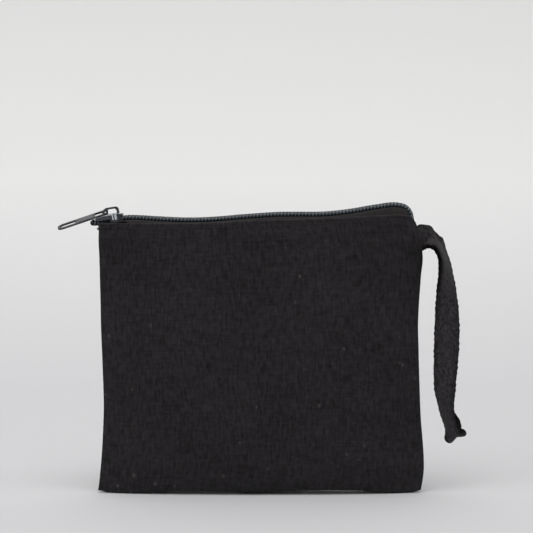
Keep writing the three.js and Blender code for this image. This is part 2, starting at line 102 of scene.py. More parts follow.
def spline(points, count):
    """A centripetal Catmull-Rom curve through points, as count points an even distance apart.

    Only the first three values of a point set its distance. A fourth is carried along.
    """
    p = np.array(points, float)
    p = np.vstack([2 * p[0] - p[1], p, 2 * p[-1] - p[-2]])
    fine = []
    for k in range(1, len(p) - 2):
        x0, x1, x2, x3 = p[k - 1 : k + 3]
        pairs = ((x0, x1), (x1, x2), (x2, x3))
        d0, d1, d2 = (max(np.linalg.norm(b[:3] - a[:3]) ** 0.5, 1e-6) for a, b in pairs)
        t1 = ((x1 - x0) / d0 - (x2 - x0) / (d0 + d1) + (x2 - x1) / d1) * d1
        t2 = ((x2 - x1) / d1 - (x3 - x1) / (d1 + d2) + (x3 - x2) / d2) * d1
        square, cube = -3 * x1 + 3 * x2 - 2 * t1 - t2, 2 * x1 - 2 * x2 + t1 + t2
        for t in np.linspace(0, 1, 40, endpoint=False):
            fine.append(x1 + t1 * t + square * t**2 + cube * t**3)
    fine = np.array(fine + [p[-2]])
    run = run_along(fine[:, :3])
    return sampled(fine, run, np.linspace(0, run[-1], count))


def along_and_up(path):
    """The direction of a path at each point, and the upward direction in the XZ plane square to it."""
    along = unit(np.gradient(path, axis=0))
    return along, np.stack([-along[:, 2], 0 * along[:, 0], along[:, 0]], axis=1)


def unit(v):
    return v / np.maximum(np.linalg.norm(v, axis=-1, keepdims=True), 1e-12)


def grid_faces(rows, columns, first=0, round_columns=False):
    """Quads between the points of a grid, whose last column may join its first."""
    strips = columns if round_columns else columns - 1
    i, j = np.meshgrid(np.arange(rows - 1), np.arange(strips), indexing="ij")
    i2, j2 = i + 1, (j + 1) % columns
    quads = np.stack([i * columns + j, i2 * columns + j, i2 * columns + j2, i * columns + j2], axis=-1)
    return quads.reshape(-1, 4) + first


def grid_normals(p):
    """Unit normals of a grid of points, whichever way its rows and columns turn."""
    return unit(np.cross(np.gradient(p, axis=0), np.gradient(p, axis=1)))


def build(name, parts, material):
    """One mesh object out of parts, each (points in mm, faces, UV in mm or None, normals or None).

    The UV map, named mm, holds millimetres times UV_SCALE. Look.mm() turns them back.
    """
    points, faces, uvs, normals, first = [], [], [], [], 0
    for p, f, uv, n in parts:
        points.append(p.reshape(-1, 3))
        faces.append(f + first)
        uvs.append(np.zeros((len(points[-1]), 2)) if uv is None else uv.reshape(-1, 2))
        normals.append(np.zeros_like(points[-1]) if n is None else n.reshape(-1, 3))
        first += len(points[-1])
    points, faces, uvs = np.vstack(points), np.vstack(faces), np.vstack(uvs)
    mesh = bpy.data.meshes.new(name)
    mesh.vertices.add(len(points))
    mesh.vertices.foreach_set("co", ((points + SHIFT) * 0.001).ravel().astype(np.float32))
    mesh.loops.add(faces.size)
    mesh.loops.foreach_set("vertex_index", faces.ravel().astype(np.int32))
    mesh.polygons.add(len(faces))
    mesh.polygons.foreach_set("loop_start", np.arange(0, faces.size, 4, dtype=np.int32))
    mesh.polygons.foreach_set("use_smooth", np.ones(len(faces), bool))
    layer = mesh.uv_layers.new(name="mm")
    layer.data.foreach_set("uv", (uvs[faces.ravel()] * UV_SCALE).ravel().astype(np.float32))
    mesh.update(calc_edges=True)
    mesh.validate()
    if any(n is not None for *_, n in parts):
        mesh.normals_split_custom_set_from_vertices(np.vstack(normals).tolist())
    mesh.materials.append(material)
    made = bpy.data.objects.new(name, mesh)
    bpy.context.scene.collection.objects.link(made)
    return made


def thick(outer, inner, uv, normals=None):
    """A closed sheet between two grids of points that face away from each other."""
    rows, columns = outer.shape[:2]
    count = rows * columns
    a, b = grid_faces(rows, columns), grid_faces(rows, columns, count)[:, ::-1]
    top, side = np.arange(columns), np.arange(rows) * columns
    rims = []
    lines = ((top, False), (top + (rows - 1) * columns, True), (side, True), (side + columns - 1, False))
    for line, turned in lines:
        quads = np.stack([line[:-1], line[1:], line[1:] + count, line[:-1] + count], axis=1)
        rims.append(quads[:, ::-1] if turned else quads)
    faces = np.vstack([a, b, *rims])
    points = np.concatenate([outer.reshape(-1, 3), inner.reshape(-1, 3)])
    if signed_volume(points, faces) < 0:
        faces = faces[:, ::-1]
    both = None if normals is None else np.concatenate([n.reshape(-1, 3) for n in normals])
    return points, faces, np.concatenate([uv.reshape(-1, 2)] * 2), both


def signed_volume(points, faces):
    """Above zero where the faces of a closed mesh point outwards."""
    a, b, c, d = (points[faces[:, k]] for k in range(4))
    return (a * np.cross(b, c)).sum() + (a * np.cross(c, d)).sum()


def tube(path, radius, sides=7):
    """A closed round tube along a path of points; its radius may change along it."""
    along = unit(np.gradient(path, axis=0))
    up = np.zeros_like(path)
    last = unit(np.cross(along[0], [0.13, 0.97, 0.21]))
    for k, t in enumerate(along):  # the section is carried along without twisting
        last = unit(last - t * (last @ t))
        up[k] = last
    across = np.cross(along, up)
    turn = np.arange(sides) / sides * 2 * np.pi
    r = np.broadcast_to(radius, len(path))[:, None, None]
    ring = up[:, None] * np.cos(turn)[None, :, None] + across[:, None] * np.sin(turn)[None, :, None]
    p = path[:, None] + ring * r
    ends = np.repeat(path[[0, -1]][:, None], sides, axis=1)  # each end is drawn together to a point
    p = np.concatenate([ends[:1], p, ends[1:]])
    faces = grid_faces(len(p), sides, round_columns=True)
    if signed_volume(p.reshape(-1, 3), faces) < 0:
        faces = faces[:, ::-1]
    run = run_along(p.mean(1))
    uv = np.stack(np.broadcast_arrays(run[:, None], turn[None] * np.max(radius)), axis=-1)
    return p, faces, uv, None


# ---------------------------------------- materials


class Look:
    """A Principled material and short calls for its nodes."""

    def __init__(self, name, **sockets):
        self.material = bpy.data.materials.new(name)
        self.material.use_nodes = True
        self.tree = self.material.node_tree
        self.shader = self.tree.nodes["Principled BSDF"]
        for key, value in sockets.items():
            self.shader.inputs[key.replace("_", " ")].default_value = value

    def node(self, kind, inputs=None, out=0, **settings):
        made = self.tree.nodes.new("ShaderNode" + kind)
        for key, value in settings.items():
            setattr(made, key, value)
        for key, value in (inputs or {}).items():
            self.put(made.inputs[key], value)
        return made.outputs[out]

    def put(self, socket, value):
        if isinstance(value, bpy.types.NodeSocket):
            self.tree.links.new(value, socket)
        else:
            socket.default_value = value

    def math(self, operation, *values, clamp=False):
        return self.node("Math", dict(enumerate(values)), operation=operation, use_clamp=clamp)

    def weighted(self, *terms):
        """The sum of (value, weight) terms."""
        total = None
        for value, weight in terms:
            term = value if weight == 1 else self.math("MULTIPLY", value, weight)
            total = term if total is None else self.math("ADD", total, term)
        return total

    def span(self, value, low, high, to_low=0.0, to_high=1.0):
        return self.node("MapRange", {0: value, 1: low, 2: high, 3: to_low, 4: to_high})

    def place(self):
        """The shaded point's position in metres."""
        return self.node("NewGeometry")

    def mm(self):
        """The mesh's UV in millimetres."""
        uv = self.node("UVMap", uv_map="mm")
        return self.scaled(uv, *[1 / UV_SCALE] * 3)

    def scaled(self, vector, *scale):
        return self.node("VectorMath", {0: vector, 1: scale}, operation="MULTIPLY")

    def noise(self, vector, scale=1.0, detail=2.0, rough=0.5):
        return self.node("TexNoise", {"Vector": vector, "Scale": scale, "Detail": detail, "Roughness": rough})

    def blend(self, factor, a, b):
        """A colour between a and b, each a tuple of three or another node's colour."""
        a, b = ((*colour, 1) if isinstance(colour, tuple) else colour for colour in (a, b))
        return self.node("Mix", {0: factor, 6: a, 7: b}, out=2, data_type="RGBA")

    def parts(self, vector):
        """The three values of a vector or colour."""
        split = self.tree.nodes.new("ShaderNodeSeparateXYZ")
        self.put(split.inputs[0], vector)
        return split.outputs[0], split.outputs[1], split.outputs[2]

    def set(self, name, value):
        """Feed one of the shader's own sockets."""
        self.put(self.shader.inputs[name], value)

    def bump(self, height, metres, strength):
        self.set("Normal", self.node("Bump", {"Height": height, "Distance": metres, "Strength": strength}))


def ridges(look, at, pitch):
    """0 to 1 and back once for each yarn."""
    return look.math("ABSOLUTE", look.math("SINE", look.math("MULTIPLY", at, math.pi / pitch)))


def plain_weave(look, mm, warp, weft):
    """Height of a plain weave with its yarns a pitch of warp and weft apart."""
    u, v, _ = look.parts(mm)
    wander = look.noise(look.scaled(mm, 0.16, 0.9, 0.0))
    u = look.math("ADD", u, look.math("MULTIPLY", look.math("SUBTRACT", wander, 0.5), 0.5))
    over = look.math(
        "MULTIPLY",
        look.math("SINE", look.math("MULTIPLY", u, math.pi / warp)),
        look.math("SINE", look.math("MULTIPLY", v, math.pi / weft)),
    )
    share = look.span(over, -0.35, 0.35)
    warps = look.math("MULTIPLY", ridges(look, u, warp), share)
    wefts = look.math("MULTIPLY", ridges(look, v, weft), look.math("SUBTRACT", 1.0, share))
    return look.math("ADD", warps, wefts)


def canvas(name, dark, light, nep):
    """Black cotton canvas: a plain weave with slubs along its yarns, soft mottling and a few pale neps."""
    look = Look(name, Roughness=0.93, Specular_IOR_Level=0.16, Sheen_Weight=0.03, Sheen_Roughness=0.6)
    mm = look.mm()
    slub = look.noise(look.scaled(mm, 0.95, 0.17, 0.0), rough=0.55)
    pick = look.noise(look.scaled(mm, 0.13, 0.9, 0.0), rough=0.55)
    mottle = look.noise(look.scaled(mm, 0.5, 0.42, 0.0), detail=3.0, rough=0.6)
    cloud = look.noise(mm, scale=0.035)
    tone = look.weighted((slub, 0.5), (pick, 0.22), (cloud, 0.16), (mottle, 0.42))
    colour = look.blend(look.span(tone, 0.47, 0.87), dark, light)
    for apart, size, rarity in ((6.5, 0.055, 0.4), (10.0, 0.045, 0.3)):  # neps, in cells this many mm wide
        cell = look.tree.nodes.new("ShaderNodeTexVoronoi")
        look.put(cell.inputs["Vector"], look.scaled(mm, 1 / apart, 0.77 / apart, 0.0))
        look.put(cell.inputs["Scale"], 1.0)
        spot = look.span(cell.outputs["Distance"], size * 0.6, size * 2.2, 1.0, 0.0)
        chance, *_ = look.parts(cell.outputs["Color"])
        colour = look.blend(look.math("MULTIPLY", spot, look.span(chance, rarity, 1.0)), colour, nep)
    look.set("Base Color", colour)
    weave = plain_weave(look, mm, warp=0.56, weft=0.62)
    height = look.weighted((weave, 1), (slub, 1.5), (pick, 0.8), (mottle, 1.2))
    look.bump(height, metres=0.00017, strength=0.9)
    return look.material


def woven_tape(name, dark, light, rib, chevron, patch):
    """A narrow woven tape: fine ribs that lean one way and then the other across its width, with painted
    shade in the furrows between them, unevenly worn.

    rib and chevron are the pitch of the ribs and half the tape's width in mm; patch is how blotchy it is.
    """
    look = Look(name, Roughness=0.85, Specular_IOR_Level=0.22, Sheen_Weight=0.03)
    mm = look.mm()
    u, v, _ = look.parts(mm)
    lean = look.math("ADD", v, look.math("MULTIPLY", look.math("PINGPONG", u, chevron), 0.9))
    rib_weight, yarn_weight, rib_shade_weight, worn_weight = 0.75, 0.35, 0.4, 0.3
    height = look.weighted((ridges(look, lean, rib), rib_weight), (ridges(look, u, rib * 0.75), yarn_weight))
    worn = look.noise(look.scaled(mm, 0.5, 0.12, 0.0), detail=3.0)
    fleck = look.noise(look.scaled(mm, 0.8, 0.6, 0.0), detail=3.0, rough=0.65)
    # painted shade: the tone is darker where the ribs' height is low, in the furrows; worn and fleck are the
    # tape's own uneven tone
    tone = look.weighted((height, rib_shade_weight), (worn, worn_weight), (fleck, patch))
    selvedge = look.span(look.math("ABSOLUTE", u), chevron * 0.55, chevron, 0.0, 0.16)
    tone = look.math("SUBTRACT", tone, selvedge)
    middle = rib_shade_weight * 0.7 + worn_weight * 0.5 + patch * 0.5  # the usual tone
    look.set("Base Color", look.blend(look.span(tone, middle - 0.2, middle + 0.24), dark, light))
    look.bump(height, metres=0.00016, strength=0.9)
    return look.material


def nylon(name, colour, tint):
    """Drawn nylon monofilament: smooth and glossy, with faint haze along it."""
    look = Look(name, Specular_IOR_Level=0.8, IOR=1.53)
    haze = look.noise(look.scaled(look.place(), 900.0, 900.0, 900.0))
    look.set("Base Color", look.blend(look.span(haze, 0.35, 0.7), colour, tint))
    look.set("Roughness", look.span(haze, 0.3, 0.7, 0.17, 0.28))
    return look.material


def sewing_thread(name, dark, light):
    """Spun polyester thread with its ply showing as a fine spiral, its grooves painted darker as shade."""
    look = Look(name, Roughness=0.7, Specular_IOR_Level=0.35)
    u, v, _ = look.parts(look.mm())
    ply = ridges(look, look.math("ADD", u, look.math("MULTIPLY", v, 1.4)), 0.32)
    # painted shade: the grooves between the plies are coloured darker than their crests
    look.set("Base Color", look.blend(ply, dark, light))
    look.bump(ply, metres=0.00006, strength=0.8)
    return look.material


def metal(name, colour, worn, roughness, edge_share, coat=0.0):
    """Plated or lacquered zinc: cast skin, small scratches, and a paler tone where edges have rubbed."""
    look = Look(name, Metallic=1.0, Coat_Weight=coat, Coat_Roughness=0.25)
    place = look.place()
    skin = look.noise(look.scaled(place, 1500.0, 1500.0, 1500.0), detail=3.0, rough=0.6)
    patch = look.noise(look.scaled(place, 260.0, 260.0, 260.0), detail=3.0)
    pointiness = look.node("NewGeometry", out=7)
    edge = look.math("MULTIPLY", look.span(pointiness, 0.505, 0.56), edge_share)
    edge = look.math("MULTIPLY", edge, look.span(patch, 0.3, 0.62))
    wear = look.math("ADD", edge, look.span(skin, 0.66, 0.8, 0.0, 0.25), clamp=True)
    look.set("Base Color", look.blend(wear, colour, worn))
    look.set("Roughness", look.span(patch, 0.3, 0.7, roughness - 0.07, roughness + 0.09))
    look.bump(skin, metres=0.00003, strength=0.5)
    return look.material


CANVAS_LOOK = canvas("black_canvas", dark=(0.0055, 0.0048, 0.0055), light=(0.035, 0.0308, 0.0338),
                     nep=(0.075, 0.067, 0.067))
TAPE_LOOK = woven_tape("zip_tape", dark=(0.012, 0.0095, 0.0095), light=(0.05, 0.042, 0.041),
                       rib=0.42, chevron=1.7, patch=0.3)
STRAP_LOOK = woven_tape("strap_tape", dark=(0.0015, 0.0012, 0.0015), light=(0.055, 0.048, 0.053),
                        rib=1.0, chevron=5.4, patch=1.0)
COIL_LOOK = nylon("zip_coil", colour=(0.034, 0.048, 0.06), tint=(0.058, 0.08, 0.1))
CORD_LOOK = sewing_thread("coil_cord", dark=(0.0025, 0.002, 0.0025), light=(0.006, 0.0055, 0.006))
THREAD_LOOK = sewing_thread("sewing_thread", dark=(0.008, 0.0075, 0.008), light=(0.022, 0.02, 0.021))
SLIDER_LOOK = metal("slider_metal", colour=(0.026, 0.026, 0.03), worn=(0.15, 0.155, 0.17),
                    roughness=0.36, edge_share=0.8, coat=0.1)
SPRING_LOOK = metal("spring_steel", colour=(0.72, 0.75, 0.8), worn=(0.86, 0.88, 0.92),
                    roughness=0.22, edge_share=0.6)


# ---------------------------------------- the pouch's form

# The panels' outline, as (height, X) of the side edges and (X, height) of the hem and the bottom edge.
LEFT_EDGE = [(0, -71.0), (7, -70.2), (24, -68.8), (41, -68.3), (72, -69.2), (85, -69.4), (108, -69.9),
             (119, -69.5)]
RIGHT_EDGE = [(0, 70.6), (12, 71.8), (35, 70.2), (63, 69.2), (75, 68.9), (95, 70.0), (103, 70.8), (113, 69.5),
              (122, 67.2)]
HEM = [(-70, 118.6), (-30, 118.6), (0, 119.8), (33, 120.9), (50, 121.8), (62, 122.2), (67, 120.6)]
LIFT = [(-70.9, 0.9), (-66, 0.15), (-60, 0.0), (-55, 0.0), (-46, 0.8), (-37, 1.3), (-13, 1.3), (-8, 0.8),
        (-4, 0.7), (1, 1.0), (28, 1.7), (43, 1.5), (51, 0.7), (57, 0.1), (62, 0.0), (67, 0.2), (70.6, 1.2)]
WALL = [(0, 6.9), (3, 8.0), (22, 9.3), (45, 9.8), (70, 9.4), (95, 8.0), (110, 6.8), (126, 6.8)]  # by height
SPLIT = (103.0, 112.5)  # between these heights each side seam opens into an end of the mouth
EDGE_BELOW, EDGE_ABOVE = 1.3, 6.1  # depth of the wall at its side edges, below and above the split
LIP_BELOW, LIP_LEFT, LIP_RIGHT = 1.15, 1.5, 2.3  # radius of the side edges, below and above the split
CORNER_LEFT, CORNER_RIGHT = 5.5, 6.5  # how much lower the hem is at its two ends
BASE_THIN, BASE_FULL = 1.0, 5.1  # depth of the base at its ends, and what its middle adds
CLOTH = 0.6  # thickness of the canvas
SEAM_Y = 0.34  # middle of the cloth where two panels are sewn together
HEM_ROUND = 0.36  # radius of the hem's fold
HEM_DEEP = 9.0
STITCH_PITCH, TOPSTITCH_PITCH = 2.9, 2.5
BELOW_HEM = 2.2  # the topstitching
SIDE_ALLOWANCE, BASE_ALLOWANCE = 6.2, 6.0  # how deep the raw edges are turned in
SEAM_INSET, SEAM_ABOVE = 1.5, 1.3  # the seams' thread, from the side edges and from the bottom edge
# Metres: places at the two ends of the mouth, where the front half is sewn to the back, and at its middle.
LEFT_SEAM, RIGHT_SEAM, CENTRE = (-0.066, 0.0, 0.12), (0.052, 0.0, 0.12), (0.0, 0.0, 0.12)


def edge_depth(z):
    return mix(EDGE_BELOW, EDGE_ABOVE, smooth((z - SPLIT[0]) / (SPLIT[1] - SPLIT[0])))


def lip_radius(z, left):
    return mix(LIP_BELOW, np.where(left, LIP_LEFT, LIP_RIGHT), smooth((z - 100) / 12))


def off_centre(x, z):
    """0 at the middle of a panel, and 1 at its side edges."""
    low, high = through(LEFT_EDGE, z), through(RIGHT_EDGE, z)
    return np.clip(np.abs((x - (low + high) / 2) / ((high - low) / 2)), 0, 1)


def wall_depth(x, z):
    """Distance from Y = 0 to the middle of a wall's cloth."""
    edge = edge_depth(z)
    fullness = 1 - off_centre(x, z) ** (3 + 5 * smooth((z - 90) / 20))
    return edge + (through(WALL, z) - edge) * fullness - CLOTH / 2


def waves(x, z, scale, seed, count=9):
    """Gentle unevenness between about -1 and 1, with features of about this size."""
    rng = np.random.default_rng(seed)
    total = np.zeros(np.broadcast(x, z).shape)
    for _ in range(count):
        turn, size, phase = rng.uniform(0, np.pi), scale * rng.uniform(0.7, 1.5), rng.uniform(0, 2 * np.pi)
        total += np.sin((x * np.cos(turn) + z * np.sin(turn)) * 2 * np.pi / size + phase)
    return total / (count * 0.5) ** 0.5 / 1.6


def columns():
    """Stations across a panel: (which edge is nearer, how far round its lip, u between the edges)."""
    lip = np.linspace(0, np.pi, 11)[:-1]
    inner = 1 - np.concatenate([np.linspace(0.0, 0.16, 18), np.linspace(0.16, 1.0, 58)[1:]])
    left = [(-1, a, -1.0) for a in lip] + [(-1, np.pi, -u) for u in inner]
    right = [(1, a, 1.0) for a in lip] + [(1, np.pi, u) for u in inner[:-1]]
    return np.array(left + right[::-1])


COLUMNS = columns()
MIDDLE = len(COLUMNS) // 2  # the column at X = 0
BASE_ROWS, WALL_ROWS, FOLD_ROWS, HEM_ROWS = 16, 118, 7, 12


def panel_x(z):
    """X of each column of a panel at heights z."""
    end, turn, u = (c[:, None] for c in COLUMNS.T)
    left = end < 0
    low, high = through(LEFT_EDGE, z) + CLOTH / 2, through(RIGHT_EDGE, z) - CLOTH / 2
    r = lip_radius(z, left)
    wall_low, wall_high = low + r, high - r
    centre = 0.5 * (wall_low + wall_high) * (1 - np.abs(u))
    x = np.where(u < 0, -u * wall_low, u * wall_high) + centre
    bulge = r * (1 - np.sin(turn)) ** np.where(left, 2, 1)  # the left corner is squarer
    return np.where(turn < np.pi - 1e-6, np.where(left, low + bulge, high - bulge), x)


def panel_middle(side):
    """The middle of one panel's cloth: [column, row], from the bottom seam to the hem's raw edge."""
    end, turn, u = (c[:, None] for c in COLUMNS.T)
    full = (1 - np.cos(turn)) / 2  # 0 at the seam, and 1 where the lip has become the wall
    left = end < 0
    zero = np.zeros_like(u)
    x0 = panel_x(zero)
    foot = through(LIFT, x0) + CLOTH / 2
    # base
    tb = np.linspace(0, 1, BASE_ROWS)[None]
    base = BASE_THIN + BASE_FULL * (1 - off_centre(x0, zero) ** 4) * full
    base_y = SEAM_Y + (base * full - SEAM_Y * full) * tb**1.15
    base_z = foot + 0.95 * smooth((base - SEAM_Y) / 3) * np.exp(-(base_y - SEAM_Y) / 0.4)
    base_x = np.broadcast_to(x0, base_y.shape)
    # wall
    dip = np.where(left, CORNER_LEFT * smooth((0.8 - full) / 0.5), CORNER_RIGHT * smooth((1 - full) / 0.3))
    tw = np.linspace(0, 1, WALL_ROWS + 1)[None, 1:]
    wall_x = np.broadcast_to(x0, (len(u), WALL_ROWS))
    for _ in range(3):  # the hem's height and a seam's place each depend on the other
        top = through(HEM, wall_x[:, -1:]) - dip - CLOTH / 2 - HEM_ROUND
        wall_z = foot + (top - foot) * tw
        wall_x = panel_x(wall_z)
    wall_y = SEAM_Y + (wall_depth(wall_x, wall_z) - SEAM_Y) * full
    # the hem is folded over to the inside
    tf = np.linspace(0, np.pi, FOLD_ROWS + 2)[None, 1:-1]
    top_x, top_y, top_z = wall_x[:, -1:], wall_y[:, -1:], wall_z[:, -1:]
    fold_y = top_y - full * HEM_ROUND + full * HEM_ROUND * np.cos(tf)
    fold_z = top_z + HEM_ROUND * np.sin(tf)
    fold_x = np.broadcast_to(top_x, fold_y.shape)
    inner = 1 - np.linspace(0, HEM_DEEP, HEM_ROWS)[None] / (top_z - through(LIFT, x0))
    hem_z = foot + (top_z - foot) * inner
    hem_x = panel_x(hem_z)
    hem_y = SEAM_Y + (wall_depth(hem_x, hem_z) - SEAM_Y) * full - 2 * HEM_ROUND * full
    x = np.concatenate([base_x, wall_x, fold_x, hem_x], axis=1)
    y = np.concatenate([base_y, wall_y, fold_y, hem_y], axis=1)
    z = np.concatenate([base_z, wall_z, fold_z, hem_z], axis=1)
    p = np.stack([x, y * side, z], axis=-1)
    # the turn from base to wall, and each lip into its wall, is rounded
    relax(p[:, BASE_ROWS - 6 : BASE_ROWS + 6].swapaxes(0, 1), 5)
    for _ in range(2):
        for part in (p[8:20], p[::-1][8:20]):
            relax(part, 1)
    return p


def relief(side, p):
    """How far the cloth stands out of its smooth form: slack, puckers at the seams and the stitched hem."""
    x, z = p[..., 0], p[..., 2]
    seed = 40 + side
    from_left, from_right = x - through(LEFT_EDGE, z), through(RIGHT_EDGE, z) - x
    from_side = np.minimum(from_left, from_right)
    # slack, as broad waves and smaller ones, and drag lines along the seams
    wall = smooth((z - 4) / 12)
    calm = smooth(from_side / 16) * wall
    out = 0.34 * waves(x, z, 46, seed) * calm + 0.11 * waves(x, z, 17, seed + 1) * calm
    out += 0.22 * waves(x * 0.25, z, 20, seed + 2) * hump(from_side, 7, 5) * wall
    # a pucker at each stitch of the side and bottom seams
    for away, phase in ((from_left, 0.3), (from_right, 1.1)):
        pucker = np.cos((z + phase) * 2 * np.pi / STITCH_PITCH + 0.6 * np.sin(z * 0.37 + phase))
        strength = 0.1 * hump(away, 1.9, 1.3) * smooth((SPLIT[0] - z) / 6 + 0.4)
        out += strength * (pucker - 0.5)
    out += 0.07 * hump(z, 2.6, 2.2) * np.cos(x * 2 * np.pi / STITCH_PITCH + 0.7 * np.sin(x * 0.31))
    # a dent below the closed end of the zip, on the front only, and a shallow one below the slider
    out -= 0.75 * hump(x, 57, 9) * hump(z, 107, 9) * (side == FRONT)
    out -= 0.35 * hump(x, -60, 8) * hump(z, 104, 10)
    # the hem is thicker than the wall, and its stitching draws it in with small ripples
    below = through(HEM, x) - z
    hemmed = smooth((below + 0.5) / 1.0) * smooth(from_side / 6)
    out -= 0.3 * hump(below, BELOW_HEM, 0.7) * hemmed
    out += 0.16 * smooth((HEM_DEEP - below) / 1.2) * smooth(below / 1.5) * hemmed
    out += 0.05 * np.cos(x * 2 * np.pi / TOPSTITCH_PITCH) * hump(below, BELOW_HEM, 1.1) * hemmed
    return out


def panel_faces(side):
    """Outer and inner faces of a panel with the cloth's own UV and its outward normals."""

    def outward(points):
        n = grid_normals(points)
        return n if n[MIDDLE, BASE_ROWS + 50, 1] * side > 0 else -n

    p = panel_middle(side)
    wall_end = BASE_ROWS + WALL_ROWS
    row = np.arange(p.shape[1])
    hem_share = np.where(row < wall_end, 1.0, np.where(row < wall_end + FOLD_ROWS, 0.3, -1.0))[None]
    p = p + outward(p) * (relief(side, p) * hem_share)[..., None]
    n = outward(p)
    run_u, run_v = run_along(p[:, BASE_ROWS + 60]), run_along(p[MIDDLE])
    uv = np.stack(np.meshgrid(run_u, run_v, indexing="ij"), axis=-1)
    uv += 300 if side == BACK else 0  # so that the two panels don't share their slubs
    return p + n * CLOTH / 2, p - n * CLOTH / 2, uv, n


def allowance(seam, inward, length, side, seed):
    """A seam's turned-in allowance: a strip of the same cloth from the seam line into the pouch."""
    steps = np.linspace(0, 1, 8)
    wave = waves(seam[:, [0]], seam[:, [2]], 18, seed)
    p = seam[:, None] + inward * (steps * length)[None, :, None]
    p[..., 1] = side * (SEAM_Y + 0.02 + 0.45 * steps[None] * (1 + 0.6 * wave))
    n = grid_normals(p)
    uv = np.stack(np.meshgrid(run_along(seam), steps * length, indexing="ij"), axis=-1)
    return thick(p + n * CLOTH / 2, p - n * CLOTH / 2, uv)


def side_line(knots, z, inset):
    """A line down a side seam, some way into the pouch: inset is above zero from the left edge."""
    return np.stack([through(knots, z) + inset, 0 * z, z], axis=1)


def bottom_line(x, above):
    """A line along the bottom seam, some way above the bottom edge."""
    return np.stack([x, 0 * x, through(LIFT, x) + above], axis=1)


def side_allowances(side):
    z = np.linspace(8, 100, 60)
    left, right = side_line(LEFT_EDGE, z, 1.4), side_line(RIGHT_EDGE, z, -1.4)
    return (allowance(left, np.array([1.0, 0, 0]), SIDE_ALLOWANCE, side, 5),
            allowance(right, np.array([-1.0, 0, 0]), SIDE_ALLOWANCE, side, 6))


def bottom_allowance(side, low, high):
    line = bottom_line(np.linspace(low, high, 40), 1.2)
    return allowance(line, np.array([0, 0, 1.0]), BASE_ALLOWANCE, side, 7)


def panels():
    outer, inner, uv, n = panel_faces(BACK)
    cloth = thick(outer, inner, uv, (n, -n))
    back = build("back_panel_cloth", [cloth, *side_allowances(BACK), bottom_allowance(BACK, -58, 58)],
                 CANVAS_LOOK)
    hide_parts("back_panel")
    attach(back, "back_half")
    outer, inner, uv, n = panel_faces(FRONT)
    left_allowance, right_allowance = side_allowances(FRONT)
    for name, cut, side_part, bottom, start in (
        ("front_panel_left", slice(0, MIDDLE + 1), left_allowance, (-58, 0), LEFT_SEAM),
        ("front_panel_right", slice(MIDDLE, None), right_allowance, (0, 58), RIGHT_SEAM),
    ):
        cloth = thick(outer[cut], inner[cut], uv[cut], (n[cut], -n[cut]))
        half = build(name, [cloth, side_part, bottom_allowance(FRONT, *bottom)], CANVAS_LOOK)
        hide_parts("front_panel")
        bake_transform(half)


# ---------------------------------------- zip

SLIDER_X, SLIDER_Z, SLIDER_TILT = -65.05, 119.25, math.radians(9)
COIL_TOP = [(-52, 121.4), (-44, 120.9), (-32, 120.4), (-22, 120.6), (-6, 121.9), (8, 122.8), (28, 123.0),
            (38, 124.0), (50, 126.0), (58.5, 127.0)]
COIL_HALF = 1.0  # half the height of a row
COIL_PITCH = 1.5
LOOP_REACH = 1.3  # half the width of a row
FILAMENT, CORD, CHAIN_STITCH = 0.36, 0.68, 0.13  # radii
TAPE_HALF = 0.22  # half the thickness of a tape
# the tape's outer edge from Y = 0: in the seam, at its ends, between
TAPE_SEWN, TAPE_END_OUT, TAPE_MOUTH = 1.0, 3.6, 5.2
TAPE_HANG = 7.0  # how far it hangs below the hem's edge, inside


def in_slider(a):
    """A point on the slider's own axis, this far towards the closed end from its middle."""
    return (SLIDER_X + a * math.cos(SLIDER_TILT), 0, SLIDER_Z + a * math.sin(SLIDER_TILT))


COIL_PATH = [(-72.8, 0, 118.4), (-72.2, 0, 118.38), *[in_slider(a) for a in (-6.2, -4, -1, 2, 5, 7.6)],
             *[(x, 0, z - COIL_HALF) for x, z in COIL_TOP],
             (63, 0, 125), (64.9, 0, 122.8), (65.6, 0, 119.8), (66, 0, 116.5)]
TAPE_PATH = [(-66.0, 0, 111.0), (-66.4, 0, 114.5), (-67.4, 0, 117.0), *COIL_PATH[3:],
             (66.6, 0, 113.4), (66.9, 0, 110.5)]
TAPE_END = [(-68.4, 0, 117.6), (-70.4, 0, 117.5), (-72.2, 0, 117.45), (-73.0, 0, 117.8), (-73.2, 0, 118.5),
            (-72.9, 0, 119.2), (-72.0, 0, 119.4)]


def spread(x):
    """How far the slider holds a row of the chain off the middle."""
    a = x - SLIDER_X
    return 0.15 + 1.0 * smooth((-0.2 - a) / 2.8) - 0.5 * smooth((-6 - a) / 1.5)


def coil_rows(side):
    """A row's filament with its radius along it, and the cord inside it, as paths."""
    path = spline(COIL_PATH, 3000)
    _, up = along_and_up(path)
    run = run_along(path)
    count = int(run[-1] / COIL_PITCH)
    turn = np.linspace(0, 2 * np.pi * count, count * 15 + 1)
    offset = 0.0 if side == FRONT else 0.4995  # the back row's loops lie between the front row's
    at = np.clip((turn / (2 * np.pi) + offset) * COIL_PITCH, 0, run[-1])
    coil, n = sampled(path, run, at), sampled(up, run, at)
    outward = np.cos(turn)
    head = smooth((-outward - 0.2) / 0.8)  # the part of a loop that locks into the other row
    y = spread(coil[:, 0]) + LOOP_REACH + outward * (LOOP_REACH - FILAMENT) - 0.42 * head
    rise = np.sin(turn) * (COIL_HALF - FILAMENT) * (1 - 0.12 * head)
    coil = coil + n * rise[:, None]
    coil[:, 1] = side * y
    cord = path - up * 0.08
    cord[:, 1] = side * (spread(path[:, 0]) + LOOP_REACH + 0.15)
    return coil, FILAMENT * (1 + 0.16 * head), cord[::12]


